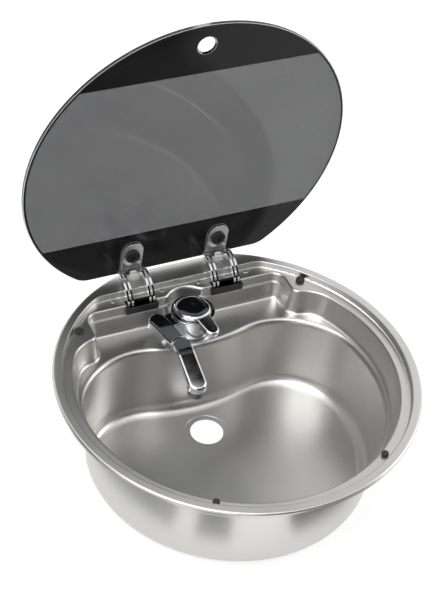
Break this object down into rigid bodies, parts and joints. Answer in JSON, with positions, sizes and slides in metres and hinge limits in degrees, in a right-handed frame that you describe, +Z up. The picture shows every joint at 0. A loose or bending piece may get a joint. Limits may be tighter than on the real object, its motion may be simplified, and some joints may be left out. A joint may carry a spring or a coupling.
{
  "type": "drop-in sink with lid and tap",
  "caption": "Round steel drop-in sink for a camper or boat, with a D-shaped printed glass lid on gooseneck hinges and a low single-lever tap that fits under the lid.",
  "frame": {"origin": "centre of the bowl's flat underside, below the centre of the round rim", "axes": "+Z up, +Y to the rear where the lid is hinged, +X to the right seen from the front"},
  "size_m": [0.42, 0.408, 0.497],
  "materials": {
    "steel": "satin pressed stainless",
    "bare_steel": "plain turned or cut steel",
    "dark_steel": "blackened or darkly plated",
    "chrome": "polished plating",
    "brass": "turned",
    "printed_glass": "toughened, printed dark on its underside",
    "rubber": "matt",
    "foam": "closed-cell foam",
    "black_plastic": "moulded, matt",
    "soft_plastic": "soft clear-grey moulding",
    "white_plastic": "moulded"
  },
  "bodies": {
    "sink": {"sink_bowl": "steel", "worktop_seal": "foam", "lid_buffers": "rubber", "hinge_base_left": "bare_steel", "hinge_base_right": "bare_steel", "hinge_pin_left": "bare_steel", "hinge_pin_right": "bare_steel", "hinge_washers_left": "black_plastic", "hinge_washers_right": "black_plastic", "slot_insert_left": "black_plastic", "slot_insert_right": "black_plastic", "hinge_well_left": "black_plastic", "hinge_well_right": "black_plastic", "hinge_rivets": "bare_steel", "tap_body": "chrome", "tap_gasket": "rubber", "tap_clamp_washer": "bare_steel", "tap_lock_nut": "brass", "cartridge": "white_plastic", "cartridge_nut": "brass"},
    "lid": {"lid_glass": "printed_glass", "lid_screws": "dark_steel", "lid_discs": "chrome", "lid_sleeves": "soft_plastic", "leaf_pad_left": "soft_plastic", "leaf_pad_right": "soft_plastic", "hinge_leaf_left": "chrome", "hinge_leaf_right": "chrome", "arm_pins_left": "bare_steel", "arm_pins_right": "bare_steel", "hinge_arms_left": "chrome", "hinge_arms_right": "chrome"},
    "mixer": {"cartridge_spindle": "brass", "lever_pin": "bare_steel"},
    "lever": {"tap_lever": "chrome"},
    "spout": {"spout": "chrome", "spout_ring": "black_plastic", "spout_screw": "bare_steel", "aerator": "dark_steel", "aerator_insert": "white_plastic"}
  },
  "joints": [
    {"name": "lid_hinge", "type": "hinge", "parent": "sink", "child": "lid", "pos_m": [0, 0.1817, 0.1185], "axis": [1, 0, 0], "range_deg": [0, 84.4]},
    {"name": "lever_turn", "type": "hinge", "parent": "sink", "child": "mixer", "pos_m": [0, 0.125, 0.106], "axis": [0, 0, 1], "range_deg": [-32, 32]},
    {"name": "lever_lift", "type": "hinge", "parent": "mixer", "child": "lever", "pos_m": [0, 0.125, 0.116], "axis": [-0.9781, -0.2079, 0], "range_deg": [0, 10]},
    {"name": "spout_swivel", "type": "hinge", "parent": "sink", "child": "spout", "pos_m": [-0.03588, 0.07495, 0.1154], "axis": [0, 0, 1], "range_deg": [-25, 40]}
  ]
}
